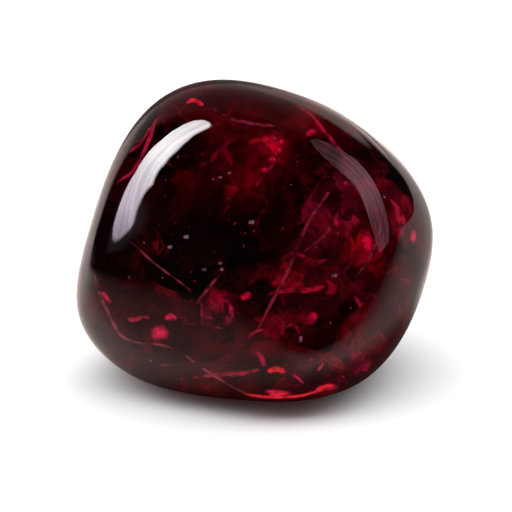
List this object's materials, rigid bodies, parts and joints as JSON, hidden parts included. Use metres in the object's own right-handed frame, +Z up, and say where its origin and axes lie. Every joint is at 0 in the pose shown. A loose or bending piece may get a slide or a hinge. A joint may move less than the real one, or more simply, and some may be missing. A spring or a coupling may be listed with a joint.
{
  "type": "tumbled garnet stone",
  "caption": "Rounded, polished pebble of clear deep red garnet, with soft worn faces and a small flat spot to rest on.",
  "frame": {"origin": "middle of the stone's plan box, on the flat spot it rests on", "axes": "+X along the longest extent, +Z up, -Y towards a viewer standing in front"},
  "size_m": [0.024, 0.0204, 0.0197],
  "materials": {
    "garnet": "clear deep red garnet, tumbled and polished to a wet gloss, with fracture veils and red glints inside"
  },
  "bodies": {
    "root": {"garnet_stone": "garnet"}
  },
  "joints": []
}
